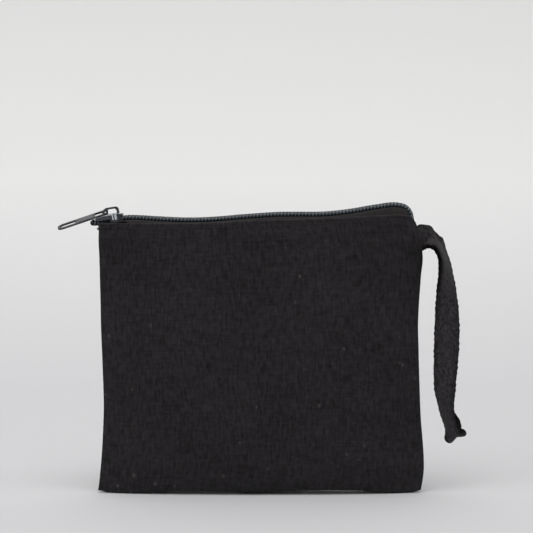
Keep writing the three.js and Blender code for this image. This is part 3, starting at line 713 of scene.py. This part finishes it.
def coil_stitches(side):
    """The chain stitch that holds a row on its tape: one thread that dips between the loops."""
    path = spline(COIL_PATH, 3000)
    _, up = along_and_up(path)
    run = run_along(path)
    at = np.arange(0.4, run[-1] - 0.4, COIL_PITCH / 6)
    p, n = sampled(path, run, at), sampled(up, run, at)
    beat = np.cos((at / COIL_PITCH - (0.25 if side == FRONT else 0.75)) * 2 * np.pi)
    p = p + n * (COIL_HALF + 0.02 + 0.1 * beat)[:, None]
    p[:, 1] = side * (spread(p[:, 0]) + 1.75 + 0.1 * np.sin(at / COIL_PITCH * np.pi))
    return p


def tape_part(side):
    """One zip tape: flat under its coil, down to the hem, then hanging inside; narrow in both side seams."""
    path = spline(TAPE_PATH, 260)
    _, up = along_and_up(path)
    x, z = path[:, 0], path[:, 2]
    hem = through(HEM, np.clip(x, -66, 64))
    open_end = np.where(np.abs(x) < 60, 1.0, smooth((z - 112.5) / 3.5))
    down = smooth((x + 58.6) / 5) * smooth((66.0 - x) / 2.5)
    base = path - up * (COIL_HALF - 0.02)
    gap = spread(x) + 0.25
    width = mix(TAPE_SEWN, TAPE_END_OUT, open_end)
    width = mix(width, TAPE_MOUTH, np.maximum(down, smooth((62 - x) / 6) * smooth((x + 72) / 3)))
    shoulder = np.minimum(width - 0.4, 3.2)
    rows = []
    for share in np.linspace(0, 1, 5):  # flat under the coil
        row = base.copy()
        row[:, 1] = side * mix(gap, shoulder, share)
        rows.append(row)
    hung = np.stack([x, side * (TAPE_MOUTH + 0.15) + 0 * x, np.minimum(hem - 1.2, base[:, 2] - 0.3)], axis=1)
    beside = base.copy()
    beside[:, 1] = side * width
    for share in np.linspace(0.2, 1, 5):  # out to the hem, or straight on at the two ends
        straight = mix(rows[4], beside, share)
        bent = mix(rows[4], hung, share)
        bent[:, 2] += 0.5 * np.sin(share * np.pi)
        rows.append(mix(straight, bent, down[:, None]))
    start = rows[-1]
    for share in np.linspace(0.15, 1, 7):  # down inside the hem
        below = start.copy()
        below[:, 2] -= TAPE_HANG * share * down
        below[:, 1] += side * 0.3 * (1 - down) * share
        rows.append(below)
    p = np.stack(rows, axis=1)
    halfway = len(path) // 2
    n = grid_normals(p)
    if n[halfway, 2, 2] < 0:
        n = -n
    uv = np.stack(np.meshgrid(run_along(path), run_along(p[halfway]), indexing="ij")[::-1], axis=-1)
    return p, n, uv


def tape_end(side):
    """The tape's raw end, folded up round the end of its coil."""
    line = spline(TAPE_END, 30)
    wide = np.array([0.2, 0.6, 1.6, 2.6, 2.9])
    p = np.repeat(line[:, None], len(wide), axis=1)
    p[..., 1] = side * wide
    n = grid_normals(p)
    uv = np.stack(np.meshgrid(np.linspace(0, 9, len(line)), wide, indexing="ij")[::-1], axis=-1)
    return thick(p + n * TAPE_HALF, p - n * TAPE_HALF, uv)


def stretch(path, name):
    """Which points of a path are in a stretch of the zip. The two halves of the front share a point."""
    middle = int(np.argmin(np.abs(path[:, 0])))
    return {"front_left": slice(0, middle + 1), "front_right": slice(middle, None), "back": slice(None)}[name]


def zip_pieces(side, name):
    """The tape, coil, cord and stitches of one stretch, each with the CAD node that it stands for."""
    p, n, uv = tape_part(side)
    part = stretch(p[:, 0], name)
    p, n, uv = p[part], n[part], uv[part]
    tape = [thick(p + n * TAPE_HALF, p - n * TAPE_HALF, uv)]
    if name != "front_right":
        tape.append(tape_end(side))
    coil, radius, cord = coil_rows(side)
    stitches = coil_stitches(side)
    part = stretch(coil, name)
    row = "front" if side == FRONT else "back"
    return [
        (build(f"zip_tape_{name}", tape, TAPE_LOOK), f"zipper_tape_{row}"),
        (build(f"zip_coil_{name}", [tube(coil[part], radius[part])], COIL_LOOK),
         f"zipper_coil_{row}"),
        (build(f"zip_cord_{name}", [tube(cord[stretch(cord, name)], CORD, 10)], CORD_LOOK),
         f"coil_cord_{row}"),
        (build(f"zip_stitches_{name}", [tube(stitches[stretch(stitches, name)], CHAIN_STITCH, 5)],
               THREAD_LOOK), None),
    ]


def zipper():
    for name, start in (("left", LEFT_SEAM), ("right", RIGHT_SEAM)):
        pieces = zip_pieces(FRONT, f"front_{name}")
        for piece, node in pieces:
            if node:
                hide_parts(node)
            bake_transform(piece)
    pieces = zip_pieces(BACK, "back")
    for piece, node in pieces:
        if node:
            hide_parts(node)
        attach(piece, "back_half")


# ---------------------------------------- sewing


def seam_stitches(line, normal, pitch=STITCH_PITCH, radius=0.2, lift=0.24):
    """Lockstitches along a line of points: each a short thread that dips into the cloth at its ends."""
    run = run_along(line)
    arch = np.sin(np.linspace(0, np.pi, 9)) ** 0.6
    parts = []
    for start in np.arange(0.2, run[-1] - pitch, pitch):
        at = start + np.linspace(0.06, 0.94, 9) * pitch
        p, n = sampled(line, run, at), sampled(normal, run, at)
        parts.append(tube(p + n * (lift * arch - 0.28)[:, None], radius, 6))
    return parts


def topstitch_line(side):
    """The line of topstitching on a wall's outer face, and the way out of the cloth along it."""
    outer, *_ = panel_faces(side)
    x = np.linspace(-60, 60, 481)
    z = through(HEM, x) - BELOW_HEM
    grid = outer[:, BASE_ROWS + WALL_ROWS - 12 : BASE_ROWS + WALL_ROWS].reshape(-1, 3)
    y = [grid[np.argmin((grid[:, 0] - a) ** 2 + (grid[:, 2] - b) ** 2), 1] for a, b in zip(x, z)]
    y = np.convolve(np.pad(y, 6, "edge"), np.ones(13) / 13, "valid")
    line = np.stack([x, y, z], axis=1)
    return line, np.broadcast_to([0.0, side, 0.0], line.shape)


def topstitching():
    line, out = topstitch_line(FRONT)
    for name, keep, start in (("left", line[:, 0] <= 0, LEFT_SEAM), ("right", line[:, 0] >= 0, RIGHT_SEAM)):
        stitches = seam_stitches(line[keep], out[keep], TOPSTITCH_PITCH)
        piece = build(f"topstitching_front_{name}", stitches, THREAD_LOOK)
        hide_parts("topstitch_front")
        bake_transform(piece)
    stitches = seam_stitches(*topstitch_line(BACK), TOPSTITCH_PITCH)
    piece = build("topstitching_back", stitches, THREAD_LOOK)
    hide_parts("topstitch_back")
    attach(piece, "back_half")


def overlock(line, outward, pitch=2.3):
    """Threads looped over the raw edges: one spiral round them, and a needle line along each face."""
    reach, rise, spiral_radius, needle_radius = 1.75, 1.15, 0.17, 0.16
    run = run_along(line)
    count = int(run[-1] / pitch)
    turn = np.linspace(0, 2 * np.pi * count, count * 14)
    p = sampled(line, run, np.interp(turn, [0, turn[-1]], [0, run[-1]]))
    p = p + outward * (np.cos(turn) * reach)[:, None]
    p[:, 1] += np.sin(turn) * rise
    parts = [tube(p, spiral_radius, 5)]
    for side in (FRONT, BACK):
        needle = line[::6] - outward * (reach - 0.05)
        needle[:, 1] = side * (rise + 0.1) + 0.12 * np.cos(np.arange(len(needle)) * 0.9)
        parts.append(tube(needle, needle_radius, 5))
    return parts


def seam_thread(name, line):
    """A seam's own thread, which lies between the panels."""
    across = np.broadcast_to([0.0, 1.0, 0.0], line.shape)
    return build(name, seam_stitches(line, across, radius=0.18, lift=0.3), THREAD_LOOK)


def seams_inside():
    """The seams' own thread, and the overlock that binds their raw edges."""
    for end, knots, inward in (("left", LEFT_EDGE, 1), ("right", RIGHT_EDGE, -1)):
        line = side_line(knots, np.linspace(4, 103, 300), inward * SEAM_INSET)
        piece = seam_thread(f"seam_stitches_{end}", line)
        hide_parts(f"seam_thread_{end}")
        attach(piece, "back_half")
        raw_edge = side_line(knots, np.linspace(9, 99, 1500), inward * (SIDE_ALLOWANCE + 0.2))
        loops = overlock(raw_edge, np.array([inward, 0, 0]))
        piece = build(f"overlock_stitches_{end}", loops, THREAD_LOOK)
        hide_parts(f"overlock_{end}")
        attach(piece, "back_half")
    piece = seam_thread("seam_stitches_bottom", bottom_line(np.linspace(-62, 62, 300), SEAM_ABOVE))
    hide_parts("seam_thread_bottom")
    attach(piece, "back_half")
    loops = overlock(bottom_line(np.linspace(-57, 57, 1500), BASE_ALLOWANCE), np.array([0, 0, 1.0]))
    piece = build("overlock_stitches_bottom", loops, THREAD_LOOK)
    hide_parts("overlock_bottom")
    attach(piece, "front_half")


# ---------------------------------------- strap

STRAP_WIDTH, STRAP_THICK = 10.8, 1.0
# Middle of the front leg and how it is turned about its own run, from inside the seam to the bottom.
STRAP_LEG = [(63.0, -0.62, 110.4, 0), (66.5, -0.64, 110.6, 0), (69.2, -0.7, 111.4, 3),
             (71.4, -1.1, 112.4, 12), (73.2, -1.9, 112.0, 46), (76.6, -2.7, 109.2, 73),
             (79.4, -3.0, 104.4, 75), (80.7, -3.3, 98.6, 66), (81.1, -3.5, 92.0, 50),
             (81.1, -3.7, 84.0, 28), (81.1, -3.8, 72.0, 4), (80.8, -3.7, 60.0, -20),
             (80.4, -3.6, 48.0, -38), (80.8, -3.4, 40.5, -51), (81.8, -3.1, 34.0, -61),
             (83.8, -2.6, 28.0, -64)]
STRAP_TURN = [(85.0, -1.9, 25.1), (86.0, -0.8, 24.3), (86.2, 0.6, 25.9), (85.4, 1.9, 30.0)]
STRAP_FOLD = unit(np.array([3.0, -8.6, 4.9]))  # the way the tape's width points where it turns back up
STRAP_ROWS, STRAP_COLUMNS = 420, 15
SHOULDER_LOW = 98  # above this height the tape is shaped by its turn out of the seam
SCALLOP, SCALLOP_PITCH = 0.032, 2.6  # the selvedges' waviness, as a share of the width
LEG_BOTTOM, LEG_TOP = 26, 104  # heights between which the two legs stand apart


def strap_line():
    """The middle of the whole tape, the way its width points, and the distance along it."""
    path = spline(STRAP_LEG, 120)
    along, up = along_and_up(path[:, :3])
    out = unit(np.cross(along, up))
    turn = np.radians(path[:, 3])[:, None]
    width = unit(up * np.cos(turn) - out * np.sin(turn))
    width = unit(mix(width, STRAP_FOLD[None], smooth((34 - path[:, 2]) / 8)[:, None]))
    # the other leg, a little less turned, so that it shows beside this one
    other = path[::-1][path[::-1, 2] > 35].copy()
    other[:, 1] *= -1
    slip = smooth((LEG_TOP - other[:, 2]) / 30)
    other[:, 0] += 0.9 * slip * np.sin((other[:, 2] - LEG_BOTTOM) / (LEG_TOP - LEG_BOTTOM) * np.pi)
    along, down = along_and_up(other[:, :3])
    out = unit(np.cross(along, -down))
    turn = np.radians(other[:, 3] * 0.82)[:, None]
    other_width = unit(-down * np.cos(turn) + out * np.sin(turn))
    other_width = unit(mix(other_width, STRAP_FOLD[None], smooth((43 - other[:, 2]) / 9)[:, None]))
    other_width[:, 1] = np.where(other[:, 2] > 108, other_width[:, 1] * 0.3, other_width[:, 1])
    # one line through both, by way of the fold between them
    fold = spline([path[-3, :3], path[-1, :3], *STRAP_TURN, other[0, :3], other[2, :3]], 60)[6:-6]
    middle = np.concatenate([path[:-1, :3], fold, other[1:, :3]])
    fold_width = np.repeat(STRAP_FOLD[None], len(fold), axis=0)
    across = np.concatenate([width[:-1], fold_width, unit(other_width[1:])])
    for _ in range(14):  # the tape twists gently
        relax(across, 1)
        across[1:-1] = unit(across[1:-1])
    run = run_along(middle)
    even = np.linspace(0, run[-1], STRAP_ROWS)
    middle, across = sampled(middle, run, even), unit(sampled(across, run, even))
    relax(middle, 12)
    return middle, across, even


def strap():
    middle, across, run = strap_line()
    along = unit(np.gradient(middle, axis=0))
    across = unit(across - along * (across * along).sum(1, keepdims=True))
    out = np.cross(along, across)
    share = np.sin(np.linspace(-np.pi / 2, np.pi / 2, STRAP_COLUMNS))  # -1 and 1 at the selvedges
    inner, outer = ((1 - share) / 2) ** 2, ((1 + share) / 2) ** 2
    shoulder = middle[:, [2]] > SHOULDER_LOW

    def near(x, size):
        """1 where the shoulder passes this X, fading over this size."""
        return hump(middle[:, [0]], x, size) * shoulder

    waviness = SCALLOP * np.sin(run * 2 * np.pi / SCALLOP_PITCH) + 0.02 * np.sin(run * 0.7 + 1)
    half = (STRAP_WIDTH / 2 * (1 + waviness))[:, None]
    # the tape is cupped where it hangs, has a valley where it turns down, and is gathered on the inside there
    cup = (0.35 * np.sin(run * 0.09) * smooth((middle[:, 0] - 71) / 4))[:, None]
    valley = 2.6 * near(72.7, 1.6) * (middle[:, [2]] > 100) * -np.sign(middle[:, [1]])
    lift = cup * (1 - share**2) - valley * hump(share, -0.3, 0.6)
    gather = (1.1 * near(73.4, 1.4) + 1.9 * near(77.2, 1.7)) * inner
    reach = share * half + gather - 1.5 * near(75.2, 1.8) * outer
    p = middle[:, None] + across[:, None] * reach[..., None] + out[:, None] * lift[..., None]
    n = grid_normals(p)
    leg = 200  # a row on the front leg
    if (n[leg, STRAP_COLUMNS // 2] * out[leg]).sum() < 0:
        n = -n
    thickness = STRAP_THICK / 2 * ((1 - np.abs(share) ** 6) * 0.75 + 0.25)[None, :, None]
    uv = np.stack(np.broadcast_arrays((share * STRAP_WIDTH / 2)[None], run[:, None]), axis=-1)
    tape = thick(p + n * thickness, p - n * thickness, uv)
    piece = build("wrist_strap_tape", [tape], STRAP_LOOK)
    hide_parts("wrist_strap")
    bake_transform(piece)


# ---------------------------------------- slider


def finish_metal():
    """The slider, spring and tab are the CAD's own shapes, with metal looks and rounded edges."""
    for node, look, rounding in (("slider_body", SLIDER_LOOK, 0.22), ("slider_crown", SLIDER_LOOK, 0.3),
                                 ("lock_spring", SPRING_LOOK, 0.1), ("pull_tab", SLIDER_LOOK, 0.32)):
        shape = bpy.data.objects[node]
        shape.data.materials.clear()
        shape.data.materials.append(look)
        # flat faces are merged first, so that only real edges are rounded
        flat = shape.modifiers.new("flat", "DECIMATE")
        flat.decimate_type, flat.angle_limit = "DISSOLVE", math.radians(2)
        bevel = shape.modifiers.new("edges", "BEVEL")
        bevel.width, bevel.segments = rounding * 0.001, 3
        bevel.limit_method, bevel.angle_limit = "ANGLE", math.radians(25)


# ---------------------------------------- stage, light and camera


def stage():
    """A sheet of pale paper that lies on the floor and curves up behind the pouch. Its colour is painted
    darker and a little bluer on the floor than up the wall, as painted shade.
    """
    floor_back, curve, high, wide = 170.0, 260.0, 1500.0, 1500
    turn = np.linspace(0, np.pi / 2, 40)
    profile = [(-900.0, 0.0), (-300.0, 0.0), (0.0, 0.0)]
    profile += [(floor_back + curve * math.sin(t), curve * (1 - math.cos(t))) for t in turn]
    profile += [(floor_back + curve, high)]
    x = np.linspace(-wide, wide, 5)
    p = np.array([[(a, y, z) for a in x] for y, z in profile], float) - SHIFT
    look = Look("studio_paper", Roughness=0.85, Specular_IOR_Level=0.2)
    place = look.place()
    _, _, height = look.parts(place)
    grain = look.noise(look.scaled(place, 6.0, 6.0, 6.0))
    # painted shade: the paper's colour is darker and bluer on the floor, and paler up the curve and the wall
    colour = look.blend(look.span(height, 0.012, 0.12), (0.61, 0.608, 0.617), (0.795, 0.79, 0.778))
    look.set("Base Color", look.blend(look.span(grain, 0.3, 0.9, 0.0, 0.05), colour, (0.7, 0.7, 0.71)))
    # its back is clear, so that the object can be seen from behind it
    backfacing = look.node("NewGeometry", out=6)
    clear = look.node("BsdfTransparent")
    shown = look.node("MixShader", {0: backfacing, 1: look.shader.outputs[0], 2: clear})
    look.put(look.tree.nodes["Material Output"].inputs["Surface"], shown)
    build("sweep", [(p, grid_faces(len(profile), 5)[:, ::-1], None, None)], look.material)


def area_light(name, place, target, size, power):
    data = bpy.data.lights.new(name, "AREA")
    data.shape, data.energy = "RECTANGLE", power
    data.size, data.size_y = size
    lamp = bpy.data.objects.new(name, data)
    lamp.location = place
    lamp.rotation_euler = (Vector(target) - Vector(place)).to_track_quat("-Z", "Y").to_euler()
    bpy.context.scene.collection.objects.link(lamp)


def lights():
    world = bpy.data.worlds.new("studio")
    bpy.context.scene.world = world
    world.use_nodes = True
    background = world.node_tree.nodes["Background"]
    background.inputs["Color"].default_value = (0.97, 0.98, 1.0, 1)
    background.inputs["Strength"].default_value = 0.43
    area_light("top", (-0.1, -0.25, 1.1), target=(0, 0.05, 0.05), size=(1.3, 1.1), power=6.8)
    area_light("left", (-1.1, -0.9, 0.7), target=(0, 0, 0.08), size=(0.7, 0.9), power=3.2)
    area_light("backdrop", (0.4, -0.3, 1.2), target=(0.25, 0.5, 0.2), size=(1.2, 0.5), power=3.4)
    bpy.context.scene.view_settings.view_transform = "Standard"
    bpy.context.scene.view_settings.look = "None"


def camera():
    data = bpy.data.cameras.new("camera")
    data.lens, data.sensor_width, data.clip_end = 140.9, 36.0, 20.0
    shot = bpy.data.objects.new("camera", data)
    rise, distance = math.radians(4.7), 0.9
    target = Vector((0.0028, -0.007, 0.09985))
    shot.location = target + distance * Vector((0, -math.cos(rise), math.sin(rise)))
    shot.rotation_euler = (target - shot.location).to_track_quat("-Z", "Y").to_euler()
    bpy.context.scene.collection.objects.link(shot)
    bpy.context.scene.camera = shot


camera()
lights()
stage()
panels()
zipper()
topstitching()
seams_inside()
strap()
finish_metal()
